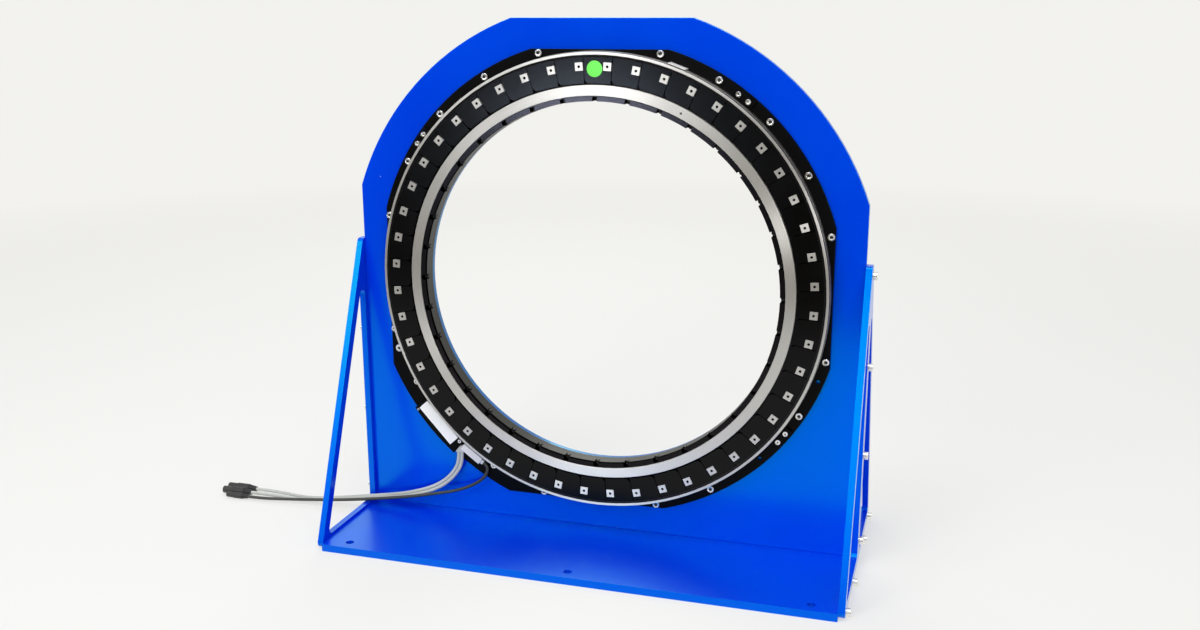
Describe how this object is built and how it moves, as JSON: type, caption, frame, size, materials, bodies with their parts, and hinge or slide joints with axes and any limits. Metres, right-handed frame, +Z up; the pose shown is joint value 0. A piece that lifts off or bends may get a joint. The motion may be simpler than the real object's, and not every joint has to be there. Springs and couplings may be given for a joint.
{
  "type": "precision rotation stage",
  "caption": "Large direct-drive ring rotation stage with a clear aperture, a ring of threaded pads, encoder heads and a painted upright stand with triangular gussets.",
  "frame": {"origin": "middle of the base plate's underside, on the surface that the stand rests on", "axes": "+X to the right seen from the front, +Y to the back, +Z up; the stage faces -Y"},
  "size_m": [0.93, 0.332, 0.687],
  "materials": {
    "blue_paint": "satin royal blue paint",
    "zinc_screw": "bright zinc plate",
    "black_screw": "black oxide",
    "black_anodised": "black anodised, satin",
    "brushed_ring": "turned and ground",
    "bare_aluminium": "milled bare",
    "scale_steel": "ground band",
    "bearing_steel": "polished",
    "cage_brass": "stamped",
    "magnet_coat": "nickel coated",
    "coil_resin": "potted winding",
    "green_dot": "printed sticker",
    "white_label": "blank film",
    "grey_jacket": "smooth jacket",
    "black_jacket": "smooth jacket",
    "plug_shell": "moulded"
  },
  "bodies": {
    "stand": {"base_plate": "blue_paint", "upright_plate": "blue_paint", "left_gusset": "blue_paint", "right_gusset": "blue_paint", "left_gusset_screws": "zinc_screw", "right_gusset_screws": "zinc_screw", "stage_screws": "zinc_screw", "earth_screw": "zinc_screw", "encoder_head_screws": "zinc_screw", "label_box_screws": "zinc_screw", "inner_ring_screws": "black_screw", "stator_flange": "black_anodised", "bearing_inner_ring": "black_anodised", "encoder_heads": "black_anodised", "label_box": "black_anodised", "index_plate": "bare_aluminium", "cable_block": "bare_aluminium", "motor_coils": "coil_resin", "label_plate": "white_label", "sensor_gland": "white_label", "motor_cable_upper": "grey_jacket", "motor_cable_lower": "grey_jacket", "motor_gland": "grey_jacket", "sensor_cable": "black_jacket", "motor_plug_upper": "plug_shell", "motor_plug_lower": "plug_shell", "sensor_plug": "plug_shell"},
    "rotor": {"bearing_outer_ring": "brushed_ring", "rotor_table": "black_anodised", "rim_lip": "brushed_ring", "scale_drum": "scale_steel", "magnet_ring": "magnet_coat", "rotor_tiles": "black_anodised", "mounting_pads": "bare_aluminium", "home_marker": "green_dot"},
    "bearing_cage": {"roller_cage": "cage_brass", "bearing_rollers": "bearing_steel"}
  },
  "joints": [
    {"name": "rotor_turn", "type": "hinge", "parent": "stand", "child": "rotor", "pos_m": [0, -0.02, 0.349], "axis": [0, -1, 0], "continuous": true},
    {"name": "cage_turn", "type": "hinge", "parent": "stand", "child": "bearing_cage", "pos_m": [0, -0.015, 0.349], "axis": [0, -1, 0], "continuous": true}
  ],
  "couplings": [
    {"joint": "cage_turn", "follows": "rotor_turn", "ratio": 0.5029}
  ]
}
